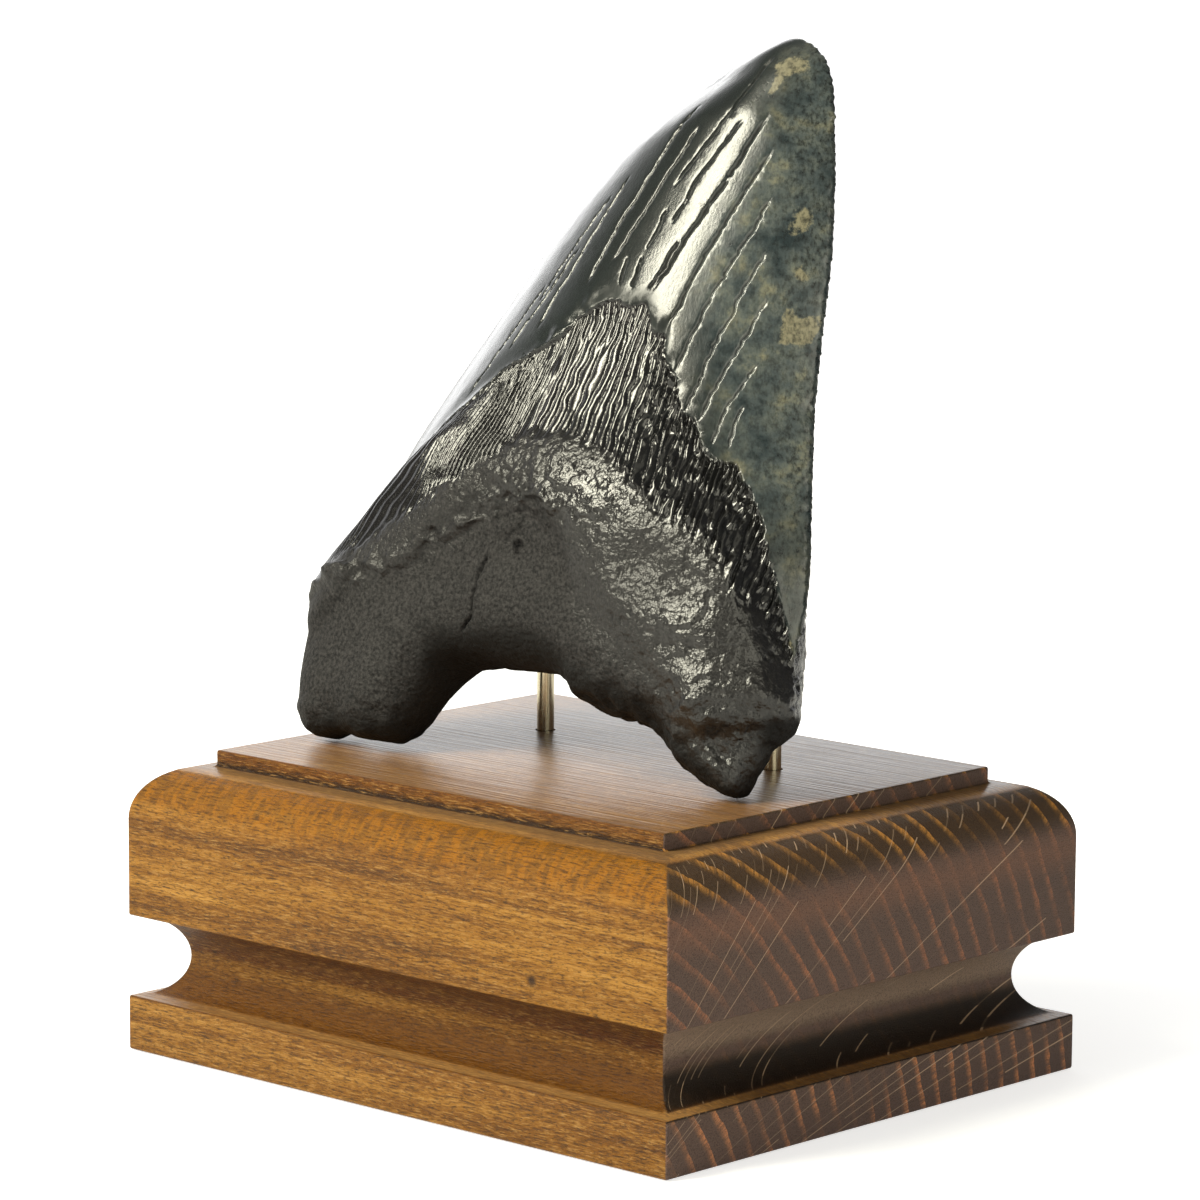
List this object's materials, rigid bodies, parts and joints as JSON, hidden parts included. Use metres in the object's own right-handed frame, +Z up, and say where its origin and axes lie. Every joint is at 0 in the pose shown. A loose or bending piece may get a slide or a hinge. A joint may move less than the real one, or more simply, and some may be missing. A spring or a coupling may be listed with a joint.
{
  "type": "megalodon tooth on stand",
  "caption": "Large dark fossil shark tooth with forked root, ridged band and cracked enamel crown, leaning on metal pins on a moulded hardwood block for display on a desk or shelf",
  "frame": {"origin": "middle of the block's underside, on the surface it stands on", "axes": "+X to the right along the block's long side and its grain, +Y to the back, so the tooth's display face looks to -Y, +Z up"},
  "size_m": [0.125, 0.103, 0.1731],
  "materials": {
    "fossil_tooth": "mineralised, glossy on the enamel and ridges, matte in the root's hollow",
    "stained_hardwood": "stained and satin lacquered",
    "pale_brass": "polished rod"
  },
  "bodies": {
    "root": {"tooth": "fossil_tooth", "stand_block": "stained_hardwood", "pin_left": "pale_brass", "pin_right": "pale_brass"}
  },
  "joints": []
}
